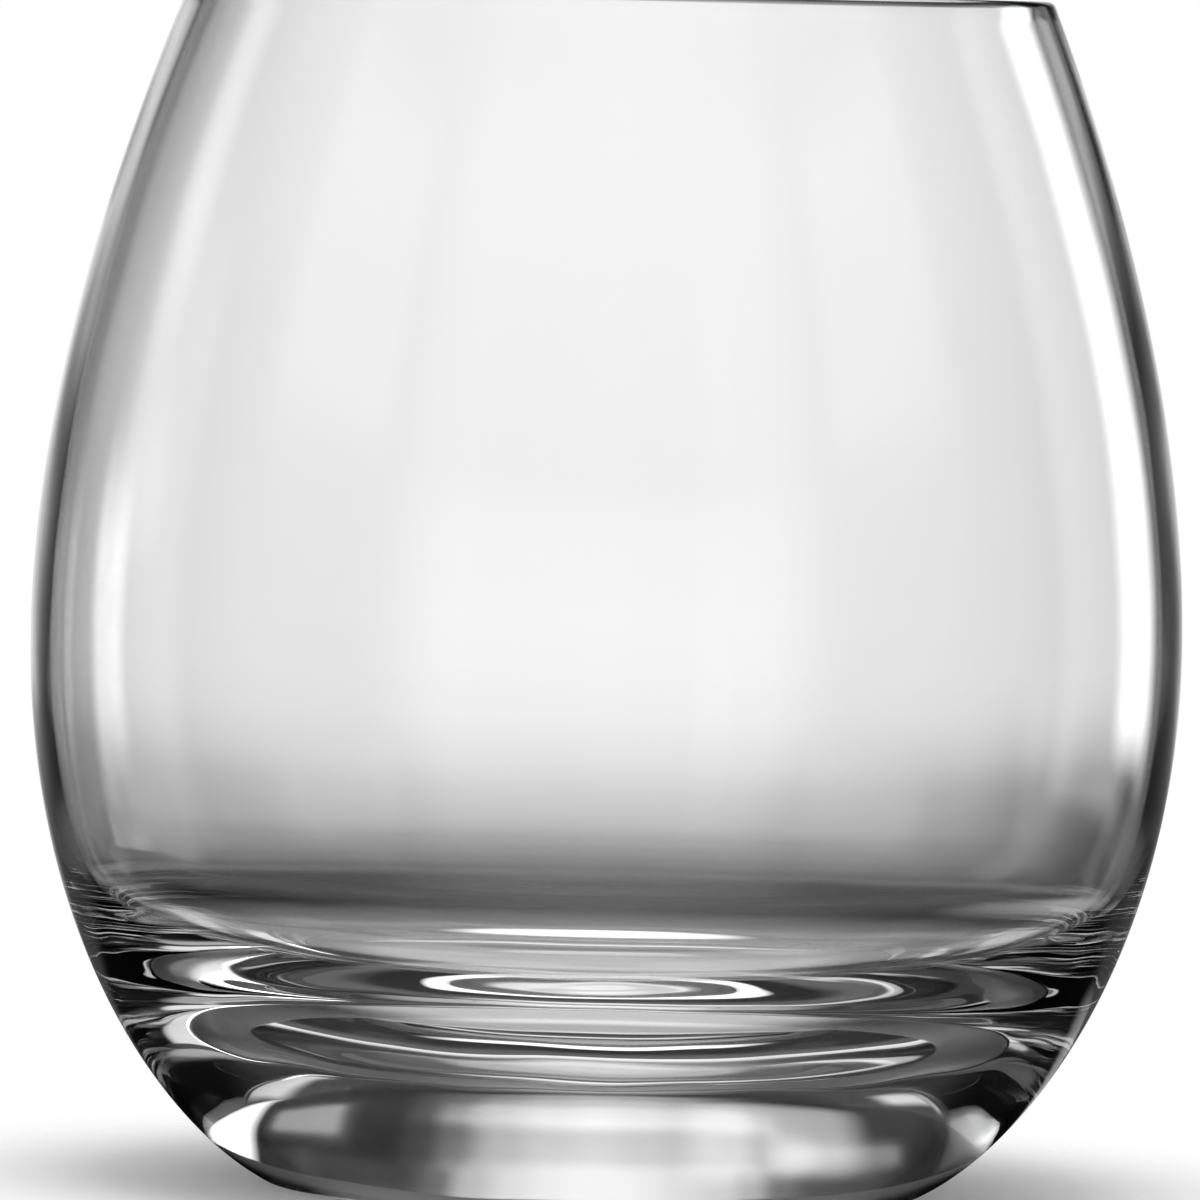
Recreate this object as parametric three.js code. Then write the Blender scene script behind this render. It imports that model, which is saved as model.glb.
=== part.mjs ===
// A stemless drinking tumbler: one piece of clear glass, egg-shaped, with a rounded lip and a heavy solid base.
// Millimetres, +Z up. The origin is the centre of the foot, on the surface that the tumbler stands on.
import * as THREE from "three";

// The outside of the glass
const HEIGHT = 97.6; // foot to the top of the lip
const BELLY_DIAMETER = 94; // the widest ring
const BELLY_HEIGHT = 44.7; // how high the widest ring is
const LIP_DIAMETER = 70.8; // outside of the lip
const LIP_LEAN_DEG = 21.6; // how far the wall leans inwards at the lip, from upright
const FOOT_DIAMETER = 53; // outer edge of the flat ring that touches the table
const FOOT_ROUNDING = 1.4; // radius between that ring and the wall
const FOOT_FLARE_DEG = 27.2; // how steeply the wall leaves the foot, from level

// The thickness of the glass
const LIP_WALL = 1.5;
const BELLY_WALL = 1.6;
const HEEL_WALL = 1.74; // at the heel, where the wall starts to thicken into the base
const HEEL_SHARE = 0.654; // how far the heel is along the outside, from the foot to the belly
const HEEL_SPREAD_DEG = 1.8; // how much more the bowl turns inwards than the outside, at the heel
const BASE_THICKNESS = 13.64; // on the axis, from the table to the floor of the bowl

// The shallow hollow under the foot, which leaves a flat ring to stand on
const PUNT_DIAMETER = 45;
const PUNT_DEPTH = 0.8;

// How far each end of a wall curve holds its direction, as a share of the straight line between its ends
const FOOT_PULL = 0.19;
const BELLY_PULL_DOWN = 0.51;
const BELLY_PULL_UP = 0.3;
const LIP_PULL = 0.36;
const BOWL_FLOOR_PULL = 0.79;
const HEEL_PULL_DOWN = 0.215;
const HEEL_PULL_UP = 0.33;
const BOWL_BELLY_PULL_DOWN = 0.34;

// Facets
const SIDES = 64;
const WALL_STEPS = 13;
const ROUND_STEPS = 6;

const OUTWARDS = new THREE.Vector2(1, 0);
const UPWARDS = new THREE.Vector2(0, 1);

// A direction in the half section, turned by an angle from level, which points outwards at 0 and up at 90 degrees.
function direction(degrees) {
  const angle = THREE.MathUtils.degToRad(degrees);
  return new THREE.Vector2(Math.cos(angle), Math.sin(angle));
}

// A smooth wall between two points of the half section, with the direction of travel given at both.
function wall(start, startDirection, startPull, end, endDirection, endPull) {
  const chord = start.distanceTo(end);
  const leave = start.clone().addScaledVector(startDirection, startPull * chord);
  const arrive = end.clone().addScaledVector(endDirection, -endPull * chord);
  return new THREE.CubicBezierCurve(start, leave, arrive, end);
}

// A round stretch of the half section about a centre, counter-clockwise between two angles.
function round(centre, radius, fromDegrees, toDegrees) {
  const from = THREE.MathUtils.degToRad(fromDegrees);
  const to = THREE.MathUtils.degToRad(toDegrees);
  return new THREE.EllipseCurve(centre.x, centre.y, radius, radius, from, to).getPoints(ROUND_STEPS);
}

// The hollow under the foot: a shallow cap of a ball, from the axis out to the flat ring.
function punt() {
  const reach = PUNT_DIAMETER / 2;
  const ballRadius = (reach ** 2 + PUNT_DEPTH ** 2) / (2 * PUNT_DEPTH);
  const ballCentre = new THREE.Vector2(0, PUNT_DEPTH - ballRadius);
  const edge = THREE.MathUtils.radToDeg(Math.acos(reach / ballRadius));
  return round(ballCentre, ballRadius, edge, 90).reverse();
}

// The rounding between the flat ring of the foot and the wall.
function footRounding() {
  const centre = new THREE.Vector2(FOOT_DIAMETER / 2, FOOT_ROUNDING);
  return round(centre, FOOT_ROUNDING, -90, FOOT_FLARE_DEG - 90);
}

// The outside, from the foot's rounding up to the belly.
function flank(footEnd) {
  const belly = new THREE.Vector2(BELLY_DIAMETER / 2, BELLY_HEIGHT);
  return wall(footEnd, direction(FOOT_FLARE_DEG), FOOT_PULL, belly, UPWARDS, BELLY_PULL_DOWN);
}

// The outside or the inside, from a belly up to the lip.
function shoulder(belly, lipEnd) {
  return wall(belly, UPWARDS, BELLY_PULL_UP, lipEnd, direction(90 + LIP_LEAN_DEG), LIP_PULL);
}

// The bowl from its floor on the axis up to its belly: the wall is even above the heel and thickens below it.
function bowl(outside, belly) {
  const floor = new THREE.Vector2(0, BASE_THICKNESS);
  const along = outside.getTangentAt(HEEL_SHARE);
  const intoGlass = new THREE.Vector2(-along.y, along.x);
  const heel = outside.getPointAt(HEEL_SHARE).addScaledVector(intoGlass, HEEL_WALL);
  const heelDirection = direction(THREE.MathUtils.radToDeg(along.angle()) - HEEL_SPREAD_DEG);
  return [
    wall(floor, OUTWARDS, BOWL_FLOOR_PULL, heel, heelDirection, HEEL_PULL_DOWN),
    wall(heel, heelDirection, HEEL_PULL_UP, belly, UPWARDS, BOWL_BELLY_PULL_DOWN),
  ];
}

// The half section of the glass: under the foot, up the outside, over the lip and down into the bowl.
function halfSection() {
  const lipRadius = LIP_WALL / 2;
  const lipCentre = new THREE.Vector2(LIP_DIAMETER / 2 - lipRadius, HEIGHT - lipRadius);
  const lip = round(lipCentre, lipRadius, LIP_LEAN_DEG, LIP_LEAN_DEG + 180);
  const foot = footRounding();
  const lowerOutside = flank(foot.at(-1));
  const bowlBelly = new THREE.Vector2(BELLY_DIAMETER / 2 - BELLY_WALL, BELLY_HEIGHT);
  const outside = [lowerOutside, shoulder(lowerOutside.v3, lip[0])];
  const inside = [...bowl(lowerOutside, bowlBelly), shoulder(bowlBelly, lip.at(-1))];
  const drawn = (curves) => curves.flatMap((curve) => curve.getPoints(WALL_STEPS));
  const points = [...punt(), ...foot, ...drawn(outside), ...lip, ...drawn(inside).reverse()];
  points[0].x = 0;
  points.at(-1).x = 0;
  return points.filter((point, i) => i === 0 || point.distanceTo(points[i - 1]) > 1e-6);
}

// The tumbler: its half section turned once round the axis, which the lathe puts along Y.
function glassBody() {
  const geometry = new THREE.LatheGeometry(halfSection(), SIDES);
  geometry.rotateX(Math.PI / 2);
  const clearGlass = new THREE.MeshStandardMaterial({
    color: 0xf2f5f4,
    roughness: 0.02,
    metalness: 0,
    transparent: true,
    opacity: 0.3,
  });
  const mesh = new THREE.Mesh(geometry, clearGlass);
  mesh.name = "glass_body";
  return mesh;
}

const tumbler = new THREE.Group();
tumbler.add(glassBody());

export default tumbler;
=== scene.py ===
import math

import bmesh
import bpy
from mathutils import Matrix, Vector


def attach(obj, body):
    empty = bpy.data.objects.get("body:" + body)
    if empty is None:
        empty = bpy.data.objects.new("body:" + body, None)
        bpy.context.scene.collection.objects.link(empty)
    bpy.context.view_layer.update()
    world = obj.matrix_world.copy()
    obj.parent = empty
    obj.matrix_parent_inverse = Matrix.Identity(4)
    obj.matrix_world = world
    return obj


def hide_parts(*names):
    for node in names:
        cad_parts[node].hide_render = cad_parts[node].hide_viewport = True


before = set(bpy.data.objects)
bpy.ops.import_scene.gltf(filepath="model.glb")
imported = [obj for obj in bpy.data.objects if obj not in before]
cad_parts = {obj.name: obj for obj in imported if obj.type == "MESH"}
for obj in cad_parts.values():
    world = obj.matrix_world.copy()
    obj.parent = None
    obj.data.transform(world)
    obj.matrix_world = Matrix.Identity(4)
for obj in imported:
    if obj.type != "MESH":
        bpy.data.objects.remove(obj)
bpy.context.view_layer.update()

# The glass body: one gather of clear soda-lime glass, blown in a turning mould, so that it is the same all
# round. The wall is thin and leans in towards a lip that the flame has melted round; the base is left solid
# and heavy, and a shallow hollow under it leaves a narrow ring to stand on.
scene = bpy.context.scene
MM = 0.001
glass_sizes = {
    "Height": 97.6 * MM,
    "Belly radius": 47.0 * MM,
    "Belly height": 44.7 * MM,
    "Lip radius": 35.4 * MM,
    "Lip lean": math.radians(21.6),  # how far the wall leans inwards at the lip, from upright
    "Foot radius": 26.5 * MM,  # outer edge of the ring that touches the table
    "Foot rounding": 1.4 * MM,
    "Foot flare": math.radians(27.2),  # how steeply the wall leaves the foot, from level
    "Lip wall": 1.5 * MM,
    "Belly wall": 1.6 * MM,
    "Heel wall": 1.74 * MM,  # at the heel, where the wall starts to thicken into the base
    "Heel share": 0.654,  # how far the heel is along the outside, from the foot to the belly
    "Heel spread": math.radians(1.8),  # how much more the bowl turns inwards than the outside, at the heel
    "Base thickness": 13.64 * MM,
    "Hollow radius": 22.5 * MM,
    "Hollow depth": 0.8 * MM,
    # how far each end of a wall keeps its direction, as a share of the straight line between its ends
    "Foot pull": 0.19,
    "Belly pull down": 0.51,
    "Belly pull up": 0.3,
    "Lip pull": 0.36,
    "Bowl floor pull": 0.79,
    "Heel pull down": 0.215,
    "Heel pull up": 0.33,
    "Bowl belly pull down": 0.34,
}
WALL_STEPS = 44
ROUND_STEPS = 8
SIDES = 256
WELD = 0.001 * MM  # points closer than this are one point

turning = bpy.data.node_groups.new("turned_glass", "GeometryNodeTree")
for name in glass_sizes:
    turning.interface.new_socket(name, in_out="INPUT", socket_type="NodeSocketFloat")
turning.interface.new_socket("Glass", in_out="OUTPUT", socket_type="NodeSocketGeometry")
size = turning.nodes.new("NodeGroupInput").outputs
finished = turning.nodes.new("NodeGroupOutput").inputs["Glass"]


def feed(tree, socket, value):
    """Gives a socket a plain number, or links another socket to it."""
    if isinstance(value, bpy.types.NodeSocket):
        tree.links.new(value, socket)
    else:
        socket.default_value = value


def sum_node(tree, operation, *values):
    """One step of arithmetic on numbers."""
    node = tree.nodes.new("ShaderNodeMath")
    node.operation = operation
    for socket, value in zip(node.inputs, values):
        feed(tree, socket, value)
    return node.outputs["Value"]


def add(a, b):
    return sum_node(turning, "ADD", a, b)


def times(a, b):
    return sum_node(turning, "MULTIPLY", a, b)


def less(a, b):
    return sum_node(turning, "SUBTRACT", a, b)


def distance(tree, start, end):
    """How far one point is from another."""
    node = tree.nodes.new("ShaderNodeVectorMath")
    node.operation = "DISTANCE"
    feed(tree, node.inputs[0], start)
    feed(tree, node.inputs[1], end)
    return node.outputs["Value"]


def parts_of(tree, vector):
    """The X, Y and Z of a point or a direction."""
    node = tree.nodes.new("ShaderNodeSeparateXYZ")
    tree.links.new(vector, node.inputs["Vector"])
    return node.outputs


def spot(radius, height):
    """A point of the half section, from its radius and its height."""
    node = turning.nodes.new("ShaderNodeCombineXYZ")
    feed(turning, node.inputs["X"], radius)
    feed(turning, node.inputs["Z"], height)
    return node.outputs["Vector"]


def onward(start, heading, length):
    """The point at a length from another, along a heading: 0 is outwards and a quarter turn is up."""
    node = turning.nodes.new("ShaderNodeVectorMath")
    node.operation = "ADD"
    feed(turning, node.inputs[0], start)
    outwards = times(sum_node(turning, "COSINE", heading), length)
    upwards = times(sum_node(turning, "SINE", heading), length)
    feed(turning, node.inputs[1], spot(outwards, upwards))
    return node.outputs["Vector"]


def stretch(start, leave, arrive, end, steps):
    """A smooth stretch of the half section between two points, drawn by its two handles."""
    node = turning.nodes.new("GeometryNodeCurvePrimitiveBezierSegment")
    node.mode = "POSITION"
    node.inputs["Resolution"].default_value = steps
    for name, point in (("Start", start), ("Start Handle", leave), ("End Handle", arrive), ("End", end)):
        feed(turning, node.inputs[name], point)
    return node.outputs["Curve"]


def wall(start, start_heading, start_pull, end, end_heading, end_pull):
    """A wall between two points, with its heading at both."""
    chord = distance(turning, start, end)
    leave = onward(start, start_heading, times(start_pull, chord))
    arrive = onward(end, end_heading, times(times(end_pull, chord), -1))
    return stretch(start, leave, arrive, end, WALL_STEPS)


def rounding(start, start_heading, end, end_heading, handle):
    """A round corner, whose handles are as long as a circle needs."""
    leave = onward(start, start_heading, handle)
    arrive = onward(end, end_heading, times(handle, -1))
    return stretch(start, leave, arrive, end, ROUND_STEPS)


OUTWARDS = 0.0
UPWARDS = math.pi / 2
INWARDS = math.pi
DOWNWARDS = 3 * math.pi / 2
QUARTER_HANDLE = 4 / 3 * math.tan(math.pi / 8)  # handle of a quarter circle of radius 1
CAP_PULL = 1 / 3  # of a shallow cap, which keeps its direction for a third of the way from each end

hollow_top = spot(0.0, size["Hollow depth"])
hollow_edge = spot(size["Hollow radius"], 0.0)
hollow_slope = times(sum_node(turning, "ARCTAN2", size["Hollow depth"], size["Hollow radius"]), -2)
ring_edge = spot(size["Foot radius"], 0.0)
flare = size["Foot flare"]
foot_out = add(size["Foot radius"], times(size["Foot rounding"], sum_node(turning, "SINE", flare)))
foot_up = times(size["Foot rounding"], less(1, sum_node(turning, "COSINE", flare)))
foot_top = spot(foot_out, foot_up)
# a round handle is 4/3 of the tangent of a quarter of its turn, times its radius
foot_handle = times(times(size["Foot rounding"], 4 / 3), sum_node(turning, "TANGENT", times(flare, 1 / 4)))
belly = spot(size["Belly radius"], size["Belly height"])
lip_round = times(size["Lip wall"], 0.5)
lip_middle = spot(less(size["Lip radius"], lip_round), less(size["Height"], lip_round))
lip_up = add(UPWARDS, size["Lip lean"])
lip_in = add(INWARDS, size["Lip lean"])
lip_down = add(DOWNWARDS, size["Lip lean"])
lip_outside = onward(lip_middle, size["Lip lean"], lip_round)
lip_top = onward(lip_middle, lip_up, lip_round)
lip_inside = onward(lip_middle, lip_in, lip_round)
lip_handle = times(lip_round, QUARTER_HANDLE)
bowl_belly = spot(less(size["Belly radius"], size["Belly wall"]), size["Belly height"])
bowl_floor = spot(0.0, size["Base thickness"])
flank = wall(foot_top, flare, size["Foot pull"], belly, UPWARDS, size["Belly pull down"])
outside_heel = turning.nodes.new("GeometryNodeSampleCurve")
turning.links.new(flank, outside_heel.inputs["Curves"])
turning.links.new(size["Heel share"], outside_heel.inputs["Factor"])
heel_along = parts_of(turning, outside_heel.outputs["Tangent"])
heel_up = sum_node(turning, "ARCTAN2", heel_along["Z"], heel_along["X"])
heel = onward(outside_heel.outputs["Position"], add(heel_up, UPWARDS), size["Heel wall"])
heel_down = add(less(heel_up, size["Heel spread"]), INWARDS)

ring = turning.nodes.new("GeometryNodeCurvePrimitiveLine")
feed(turning, ring.inputs["Start"], hollow_edge)
feed(turning, ring.inputs["End"], ring_edge)
half_section = turning.nodes.new("GeometryNodeJoinGeometry")
for piece in (
    wall(hollow_top, OUTWARDS, CAP_PULL, hollow_edge, hollow_slope, CAP_PULL),
    ring.outputs["Curve"],
    rounding(ring_edge, OUTWARDS, foot_top, flare, foot_handle),
    flank,
    wall(belly, UPWARDS, size["Belly pull up"], lip_outside, lip_up, size["Lip pull"]),
    rounding(lip_outside, lip_up, lip_top, lip_in, lip_handle),
    rounding(lip_top, lip_in, lip_inside, lip_down, lip_handle),
    wall(lip_inside, lip_down, size["Lip pull"], bowl_belly, DOWNWARDS, size["Belly pull up"]),
    wall(bowl_belly, DOWNWARDS, size["Bowl belly pull down"], heel, heel_down, size["Heel pull up"]),
    wall(heel, heel_down, size["Heel pull down"], bowl_floor, INWARDS, size["Bowl floor pull"]),
):
    turning.links.new(piece, half_section.inputs["Geometry"])


def then(kind, geometry, **settings):
    """The next step of the tree, with its geometry and its settings."""
    node = turning.nodes.new(kind)
    turning.links.new(geometry, node.inputs[0])
    for name, value in settings.items():
        feed(turning, node.inputs[name.replace("_", " ")], value)
    return node.outputs[0]


# the stretches become one line, and the line is turned once round the axis
line = then("GeometryNodeCurveToMesh", half_section.outputs["Geometry"])
line = then("GeometryNodeMergeByDistance", line, Distance=WELD)
line = then("GeometryNodeMeshToCurve", line)
TURN_RADIUS = 10 * MM
line = then("GeometryNodeTransform", line, Translation=(-TURN_RADIUS, 0, 0))
line = then("GeometryNodeTransform", line, Rotation=(math.pi / 2, 0, 0))
turn = turning.nodes.new("GeometryNodeCurvePrimitiveCircle")
turn.inputs["Resolution"].default_value = SIDES
turn.inputs["Radius"].default_value = TURN_RADIUS
glass = then("GeometryNodeCurveToMesh", turn.outputs["Curve"], Profile_Curve=line)
glass = then("GeometryNodeMergeByDistance", glass, Distance=WELD)
glass = then("GeometryNodeSetShadeSmooth", glass)
glass = then("GeometryNodeRealizeInstances", glass)

clear_glass = bpy.data.materials.new("clear_glass")
clear_glass.use_nodes = True
shade = clear_glass.node_tree
glass_shader = shade.nodes["Principled BSDF"]
glass_shader.inputs["Base Color"].default_value = (1, 1, 1, 1)
glass_shader.inputs["Transmission Weight"].default_value = 1
glass_shader.inputs["IOR"].default_value = 1.52
# blown glass is never quite even: its surface waves a little, more so in the base, which the mould chilled
WAVES_TO_THE_METRE = 60
WAVE_HEIGHT = 1 * MM
BASE_WAVINESS = 0.2
WALL_WAVINESS = 0.04
glass_place = shade.nodes.new("ShaderNodeTexCoord").outputs["Object"]
waves = shade.nodes.new("ShaderNodeTexNoise")
waves.inputs["Scale"].default_value = WAVES_TO_THE_METRE
waves.inputs["Detail"].default_value = 1
shade.links.new(glass_place, waves.inputs["Vector"])
glass_height = parts_of(shade, glass_place)["Z"]


def fade(tree, value, start, end, first=0.0, last=1.0):
    """The first level up to the start, the last level from the end on, and smooth between them."""
    node = tree.nodes.new("ShaderNodeMapRange")
    node.interpolation_type = "SMOOTHSTEP"
    feed(tree, node.inputs["Value"], value)
    for name, number in (("From Min", start), ("From Max", end), ("To Min", first), ("To Max", last)):
        node.inputs[name].default_value = number
    return node.outputs["Result"]


ripple = shade.nodes.new("ShaderNodeBump")
ripple.inputs["Distance"].default_value = WAVE_HEIGHT
shade.links.new(waves.outputs["Fac"], ripple.inputs["Height"])
waviness = fade(shade, glass_height, 18 * MM, 36 * MM, BASE_WAVINESS, WALL_WAVINESS)
shade.links.new(waviness, ripple.inputs["Strength"])
shade.links.new(ripple.outputs["Normal"], glass_shader.inputs["Normal"])
# the ring that it stands on is scuffed matt by years of table tops
SCUFFED = 0.35
scuffed = fade(shade, glass_height, 0.06 * MM, 0.02 * MM, 0.0, SCUFFED)
shade.links.new(scuffed, glass_shader.inputs["Roughness"])

glass = then("GeometryNodeSetMaterial", glass, Material=clear_glass)
turning.links.new(glass, finished)

maker = bpy.data.objects.new("glass_maker", bpy.data.meshes.new("glass_maker"))
scene.collection.objects.link(maker)
modifier = maker.modifiers.new("turned", "NODES")
modifier.node_group = turning
for socket in turning.interface.items_tree:
    if socket.in_out == "INPUT":
        modifier[socket.identifier] = glass_sizes[socket.name]
bpy.context.view_layer.update()
glass_mesh = bpy.data.meshes.new_from_object(maker.evaluated_get(bpy.context.evaluated_depsgraph_get()))
glass_mesh.name = "tumbler_glass"
bpy.data.objects.remove(maker)
skin = bmesh.new()
skin.from_mesh(glass_mesh)
bmesh.ops.recalc_face_normals(skin, faces=skin.faces)
skin.to_mesh(glass_mesh)
skin.free()
tumbler_glass = bpy.data.objects.new("tumbler_glass", glass_mesh)
scene.collection.objects.link(tumbler_glass)
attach(tumbler_glass, "root")
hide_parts("glass_body")

# The floor: a plain pale sheet that the tumbler stands on, cut round and laid a hair under the foot. Away
# from the foot it fades out into the white backdrop. Seen straight it is white; the glass shows it with
# painted shade, dark along the sheet and paler from above, and with painted light where the base would gather
# light.
FLOOR_RADIUS = 200 * MM
FLOOR_STEPS = 128
FLOOR_DROP = 0.03 * MM
floor_mesh = bpy.data.meshes.new("floor")
disc = bmesh.new()
bmesh.ops.create_circle(disc, cap_ends=True, segments=FLOOR_STEPS, radius=FLOOR_RADIUS)
bmesh.ops.translate(disc, vec=(0, 0, -FLOOR_DROP), verts=disc.verts)
disc.to_mesh(floor_mesh)
disc.free()
floor = bpy.data.objects.new("floor", floor_mesh)
scene.collection.objects.link(floor)
pale_sheet = bpy.data.materials.new("pale_sheet")
pale_sheet.use_nodes = True
sheet = pale_sheet.node_tree
sheet_shader = sheet.nodes["Principled BSDF"]
sheet_shader.inputs["Specular IOR Level"].default_value = 0
sheet_place = sheet.nodes.new("ShaderNodeTexCoord").outputs["Object"]
sheet_parts = parts_of(sheet, sheet_place)
sideways = sheet_parts["X"]
backwards = sheet_parts["Y"]
reach = distance(sheet, sheet_place, (0, 0, 0))  # from the middle of the foot


def product(tree, first, *others):
    """Numbers multiplied together."""
    for other in others:
        first = sum_node(tree, "MULTIPLY", first, other)
    return first


def total(tree, first, *others):
    """Numbers added up."""
    for other in others:
        first = sum_node(tree, "ADD", first, other)
    return first


def mix_number(tree, share, first, second):
    """Two numbers mixed by a share."""
    node = tree.nodes.new("ShaderNodeMix")
    for place, value in ((0, share), (2, first), (3, second)):
        feed(tree, node.inputs[place], value)
    return node.outputs[0]


def mix_colour(tree, share, first, second, kind="MIX"):
    """Two colours mixed by a share, or multiplied or added by it."""
    node = tree.nodes.new("ShaderNodeMix")
    node.data_type = "RGBA"
    node.blend_type = kind
    for place, value in ((0, share), (6, first), (7, second)):
        feed(tree, node.inputs[place], value)
    return node.outputs[2]


def grey(level):
    return (level, level, level, 1)


def by_glass(tree, rays):
    """1 for a ray that comes off or through the glass, and 0 for any other."""
    return sum_node(tree, "MAXIMUM", rays["Is Glossy Ray"], rays["Is Transmission Ray"])


def crossed(tree, rays, surfaces):
    """1 for a ray that has crossed this many surfaces of the glass or more, and 0 for any other."""
    return fade(tree, rays["Transmission Depth"], surfaces - 1, surfaces)


def thrown_back(tree, rays):
    """1 for a ray that a surface of the glass has thrown back, and 0 for one that went straight on."""
    return fade(tree, rays["Glossy Depth"], 0, 1)


def straight_on(tree, rays):
    """The opposite: 1 for a ray that went straight on."""
    return fade(tree, rays["Glossy Depth"], 1, 0)


ONE_WALL = 2  # surfaces that a ray crosses in one wall of the bowl
BOTH_WALLS = 4
BACKDROP_EDGE = 32  # degrees to either side of straight behind, where the backdrop starts to end
ROOM_EDGE = 48  # degrees to either side, from where there is only the room
sheet_rays = sheet.nodes.new("ShaderNodeLightPath").outputs
sheet_by_glass = by_glass(sheet, sheet_rays)
sheet_both_walls = product(sheet, straight_on(sheet, sheet_rays), crossed(sheet, sheet_rays, BOTH_WALLS))
# painted shade: the glass sees the sheet nearly black when it looks along it, and paler when it looks down on
# it
painted_tone_facing = sheet.nodes.new("ShaderNodeLayerWeight").outputs["Facing"]
painted_shade_along_sheet = mix_colour(sheet, fade(sheet, backwards, 45 * MM, 70 * MM), grey(0.008), grey(0.09))
# painted shadow: seen through both walls, the sheet from a little behind the foot on is shown darker
painted_shadow_behind_foot = product(sheet, sheet_both_walls, fade(sheet, backwards, 20 * MM, 35 * MM))
painted_shade_from_above = mix_colour(sheet, painted_shadow_behind_foot, grey(0.75), grey(0.35))
painted_shade_in_glass = mix_colour(sheet, fade(sheet, painted_tone_facing, 0.45, 0.2), painted_shade_along_sheet, painted_shade_from_above)
# through both walls the sheet is pale after a long fall and beside the backdrop, which keeps the bowl clear
fallen = sheet_rays["Ray Length"]
long_fall = product(sheet, fade(sheet, painted_tone_facing, 0.76, 0.66), fade(sheet, fallen, 66 * MM, 86 * MM))
sheet_azimuth = sum_node(sheet, "DEGREES", sum_node(sheet, "ARCTAN2", sideways, backwards))
sheet_aside = sum_node(sheet, "ABSOLUTE", sheet_azimuth)
beside_backdrop = fade(sheet, sheet_aside, BACKDROP_EDGE, ROOM_EDGE)
beside_backdrop = product(sheet, beside_backdrop, fade(sheet, fallen, 30 * MM, 50 * MM))
pale = product(sheet, sheet_both_walls, sum_node(sheet, "MAXIMUM", beside_backdrop, long_fall))
painted_shade_in_glass = mix_colour(sheet, pale, painted_shade_in_glass, grey(0.8))
# the camera sees the sheet plain pale, and the glass sees it with the painted shade
sheet_colour_with_painted_shade = mix_colour(sheet, sheet_by_glass, grey(0.85), painted_shade_in_glass)
sheet.links.new(sheet_colour_with_painted_shade, sheet_shader.inputs["Base Color"])

# painted light for the glass only, where the base would gather light: a pool under it, a rim in front,
# an arc behind and a glow on the right
painted_light_pool = fade(sheet, reach, 25 * MM, 18 * MM, 0.0, 0.42)
painted_light_rim = product(sheet, fade(sheet, reach, 18 * MM, 21 * MM), fade(sheet, reach, 30 * MM, 26 * MM))
painted_light_rim = product(sheet, painted_light_rim, fade(sheet, backwards, -14 * MM, -21 * MM, 0.0, 0.6))
ARC_RADIUS = 31.5 * MM
ARC_HALF_LENGTH = 15 * MM
ARC_HALF_WIDTH = 6 * MM
arc_along = sum_node(sheet, "DIVIDE", sideways, ARC_HALF_LENGTH)
arc_across = sum_node(sheet, "DIVIDE", sum_node(sheet, "SUBTRACT", reach, ARC_RADIUS), ARC_HALF_WIDTH)
off_arc = total(sheet, product(sheet, arc_along, arc_along), product(sheet, arc_across, arc_across))
painted_light_arc = product(sheet, fade(sheet, off_arc, 1, 0.4, 0.0, 1.3), fade(sheet, backwards, 0, 10 * MM))
GLOW_MIDDLE = (50 * MM, 53 * MM, 0)
painted_glow = fade(sheet, distance(sheet, sheet_place, GLOW_MIDDLE), 24 * MM, 10 * MM, 0.0, 0.4)
# all the painted light together, glowing on the sheet for rays off or through the glass
painted_caustic_light = product(sheet, total(sheet, painted_light_pool, painted_light_rim, painted_light_arc, painted_glow), sheet_by_glass)
sheet_shader.inputs["Emission Color"].default_value = grey(1)
sheet.links.new(painted_caustic_light, sheet_shader.inputs["Emission Strength"])

# where the sheet ends: close to the foot when seen straight, and further out in the glass
short_sheet = product(sheet, sheet_both_walls, sum_node(sheet, "SUBTRACT", 1, long_fall))
long_end = fade(sheet, reach, 150 * MM, 200 * MM)
end_in_glass = mix_number(sheet, short_sheet, long_end, fade(sheet, reach, 70 * MM, 130 * MM))
sheet_end = mix_number(sheet, sheet_by_glass, fade(sheet, reach, 30 * MM, 70 * MM), end_in_glass)
gone = sheet.nodes.new("ShaderNodeBsdfTransparent")
ending = sheet.nodes.new("ShaderNodeMixShader")
sheet.links.new(sheet_end, ending.inputs["Fac"])
sheet.links.new(sheet_shader.outputs["BSDF"], ending.inputs[1])
sheet.links.new(gone.outputs["BSDF"], ending.inputs[2])
sheet.links.new(ending.outputs["Shader"], sheet.nodes["Material Output"].inputs["Surface"])
floor_mesh.materials.append(pale_sheet)

# The studio: a white backdrop behind the glass, dark on both sides, with softboxes on the right and the left,
# pale walls beside the camera and a soft light overhead. The camera sees plain white, and the glass shows
# the rest. Places are in degrees: sideways from straight behind the glass, and upwards from level.
studio = bpy.data.worlds.new("studio")
scene.world = studio
studio.use_nodes = True
room = studio.node_tree
towards = parts_of(room, room.nodes.new("ShaderNodeTexCoord").outputs["Generated"])
azimuth = sum_node(room, "DEGREES", sum_node(room, "ARCTAN2", towards["X"], towards["Y"]))
height = sum_node(room, "DEGREES", sum_node(room, "ARCSINE", towards["Z"]))
aside = sum_node(room, "ABSOLUTE", azimuth)


def tones(value, stops):
    """A run of grey levels along a value: each stop is a place and how bright it is there."""
    first, last = stops[0][0], stops[-1][0]
    along = room.nodes.new("ShaderNodeMapRange")
    feed(room, along.inputs["Value"], value)
    along.inputs["From Min"].default_value = first
    along.inputs["From Max"].default_value = last
    ramp = room.nodes.new("ShaderNodeValToRGB")
    ramp.color_ramp.interpolation = "EASE"
    feed(room, ramp.inputs["Fac"], along.outputs["Result"])
    elements = ramp.color_ramp.elements
    while len(elements) < len(stops):
        elements.new(0.5)
    for element, (stop, level) in zip(elements, stops):
        element.position = (stop - first) / (last - first)
        element.color = grey(level)
    return ramp.outputs["Color"]


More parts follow.
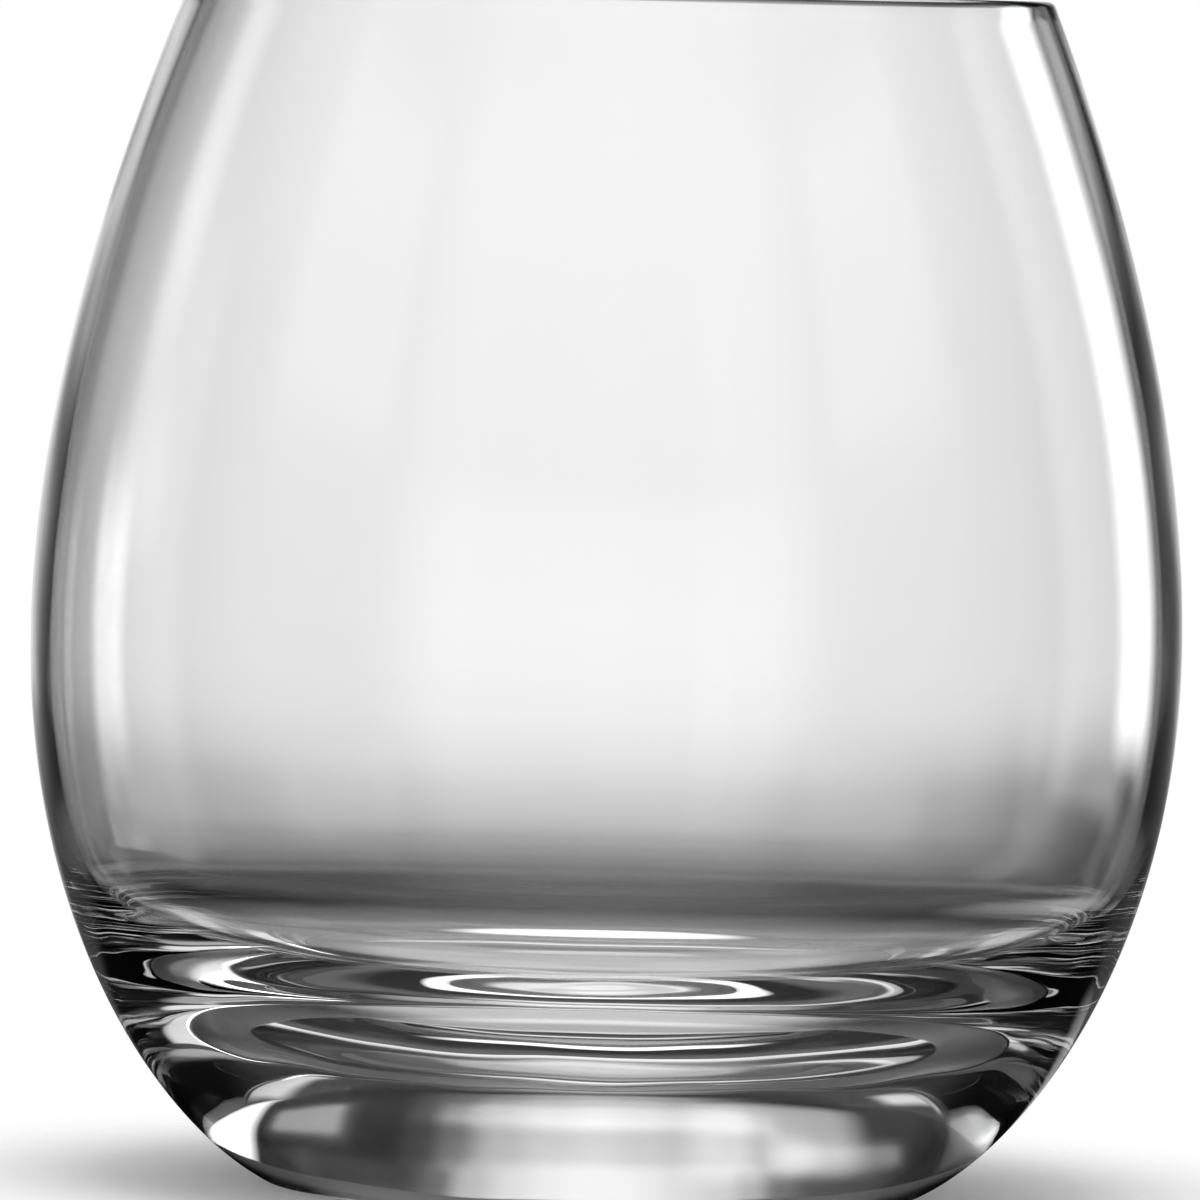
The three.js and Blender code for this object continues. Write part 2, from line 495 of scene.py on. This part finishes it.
def panel(left, right, low, high, edge, strength):
    """A soft-edged light between two azimuths and two heights."""
    wide = product(room, fade(room, azimuth, left, left + edge), fade(room, azimuth, right, right - edge))
    tall = product(room, fade(room, height, low, low + edge), fade(room, height, high, high - edge))
    return product(room, wide, tall, strength)


# the backdrop, from the floor up and from side to side: its sides are nearer together high up and low down
upward = tones(height, [
    (-90, 0.06), (-25, 0.06), (-20, 0.08), (-15, 0.18), (-12, 0.26), (-10, 0.33), (-8, 0.4), (-6, 0.54),
    (-5, 0.67), (-4, 0.84), (-3.2, 0.94), (-2, 0.96), (-0.5, 1), (3.5, 1), (5.2, 0.75), (7.2, 0.68),
    (9.5, 1), (11, 0.9), (15, 0.55), (20, 0.45), (45, 0.4), (52, 0.2), (90, 0.03),
])
across = tones(azimuth, [
    (-60, 0.03), (-36, 0.06), (-20, 0.2), (-16, 0.3), (-13, 0.52), (-11, 0.72), (-7, 0.82), (-5, 0.92),
    (-2.5, 1), (2, 1), (4, 0.94), (7, 0.82), (10, 0.56), (13, 0.28), (17, 0.13), (26, 0.12), (60, 0.05),
])
across_low = tones(azimuth, [
    (-60, 0.05), (-30, 0.1), (-16, 0.3), (-10, 0.6), (-5, 0.8), (-2, 0.95), (-1, 1), (0.5, 1),
    (2, 0.88), (3, 0.75), (4.5, 0.55), (7, 0.38), (10, 0.28), (16, 0.15), (30, 0.08), (60, 0.05),
])
across_high = tones(azimuth, [
    (-60, 0.02), (-22, 0.03), (-18, 0.2), (-15, 0.38), (-12, 0.55), (-8, 0.78), (-4, 0.9), (0, 1),
    (4, 0.9), (8, 0.7), (12, 0.4), (15, 0.2), (18, 0.03), (60, 0.02),
])
level_across = mix_colour(room, fade(room, height, 2, 5), across, across_high)
level_across = mix_colour(room, fade(room, height, -3, -5), level_across, across_low)
behind = mix_colour(room, 1, level_across, upward, "MULTIPLY")
# the dark sides and the bright ceiling, and the room in front, where the camera stands
beside = tones(height, [
    (-90, 0.3), (-50, 0.3), (-30, 0.02), (-3, 0.01), (58, 0.01), (70, 0.5), (80, 1), (90, 1),
])
before = tones(height, [
    (-90, 0.3), (-50, 0.3), (-30, 0.05), (-14, 0.3), (-8, 0.6), (0, 0.8), (30, 0.8), (42, 0.3),
    (52, 0.02), (60, 0.02), (70, 0.5), (80, 1), (90, 1),
])
around = mix_colour(room, fade(room, aside, 62, 85), behind, beside)
around = mix_colour(room, fade(room, height, 50, 66), around, beside)
around = mix_colour(room, fade(room, aside, 125, 150), around, before)

# what a ray has come through: both walls of the bowl or one, the base, or a throw off the back wall
rays = room.nodes.new("ShaderNodeLightPath").outputs
two_walls = crossed(room, rays, BOTH_WALLS)
one_wall = sum_node(room, "SUBTRACT", crossed(room, rays, ONE_WALL), two_walls)
through_both = product(room, straight_on(room, rays), two_walls)
through_one = product(room, straight_on(room, rays), one_wall)
in_base = product(room, thrown_back(room, rays), one_wall)
off_back_wall = product(room, thrown_back(room, rays), two_walls)

# the back wall of the bowl shows only the lower part of the main softbox
main_shown = mix_number(room, off_back_wall, 1, fade(room, height, 8, 0))
lights = total(
    room,
    product(room, panel(36, 56, -10, 24, 5, 2.8), main_shown),  # the main softbox, on the right
    panel(44, 80, -24, 32, 9, 0.9),  # its spill on the wall beside it
    panel(21, 37, 4, 15, 4, 0.4),  # a card between it and the backdrop
    panel(-80, -54, -2, 14, 8, 0.65),  # the second softbox, on the left
    panel(-74, -54, 8, 36, 8, 0.9),  # its upper half
    panel(-34, -14, 1, 10, 4, 0.33),  # a card between it and the backdrop
    panel(98, 136, 10, 38, 8, 0.6),  # pale walls beside the camera
    panel(-136, -98, 10, 38, 8, 0.6),
)
around = mix_colour(room, 1, around, lights, "ADD")
# whoever looks through the bowl past the backdrop, or down through its mouth, sees the white room
past_backdrop = fade(room, aside, BACKDROP_EDGE, ROOM_EDGE)
past_backdrop = sum_node(room, "MAXIMUM", past_backdrop, fade(room, height, -24, -32))
white_room = product(room, through_both, past_backdrop)
white_room = total(room, white_room, product(room, through_one, fade(room, height, -7, -11)))
around = mix_colour(room, white_room, around, grey(0.9))
# in the base the dark tones are deeper, and a card left of the middle lights its front
deepened = product(room, in_base, fade(room, around, 0.5, 0.15, 0.0, 0.7))
around = mix_colour(room, deepened, around, grey(0))
around = mix_colour(room, in_base, around, panel(-28, -6, 0, 20, 6, 0.45), "ADD")
plain = mix_colour(room, by_glass(room, rays), grey(0.75), around)
seen = mix_colour(room, rays["Is Camera Ray"], plain, grey(1))
feed(room, room.nodes["Background"].inputs["Color"], seen)

overhead = bpy.data.lights.new("overhead", "AREA")
overhead.energy = 1.6
overhead.size = 300 * MM
overhead_light = bpy.data.objects.new("overhead", overhead)
scene.collection.objects.link(overhead_light)
overhead_light.location = (0, -100 * MM, 600 * MM)
overhead_light.rotation_euler = (-overhead_light.location).to_track_quat("-Z", "Y").to_euler()
overhead_light.visible_glossy = False
overhead_light.visible_transmission = False

# The camera: level with the lip and about a metre away, with a long lens, held a little out of level. The
# outline of the glass and the slope of its lip in the photograph give its height, its tilt and its framing.
CAMERA_DISTANCE = 1000 * MM
CAMERA_HEIGHT = 96.5 * MM
SENSOR_WIDTH = 36  # of the lens, in its own millimetres
PHOTO_WIDTH = 1200  # pixels
FOCAL_LENGTH = 12256.9  # pixels
pitch = math.radians(2.782)
yaw = math.radians(-0.0345)
roll = math.radians(1.417)
lens = bpy.data.cameras.new("camera")
lens.sensor_width = SENSOR_WIDTH
lens.lens = FOCAL_LENGTH * SENSOR_WIDTH / PHOTO_WIDTH
camera = bpy.data.objects.new("camera", lens)
scene.collection.objects.link(camera)
ahead = Vector((math.sin(yaw) * math.cos(pitch), math.cos(yaw) * math.cos(pitch), -math.sin(pitch)))
right = Vector((math.cos(yaw), -math.sin(yaw), 0))
up = right.cross(ahead)
tilted_right = right * math.cos(roll) + up * math.sin(roll)
tilted_up = up * math.cos(roll) - right * math.sin(roll)
aim = Matrix((tilted_right, tilted_up, -ahead)).transposed().to_4x4()
aim.translation = (0, -CAMERA_DISTANCE, CAMERA_HEIGHT)
camera.matrix_world = aim
scene.camera = camera
scene.view_settings.view_transform = "Standard"
# light crosses many surfaces on its way through the base
scene.cycles.max_bounces = 24
scene.cycles.transmission_bounces = 24
scene.cycles.glossy_bounces = 16
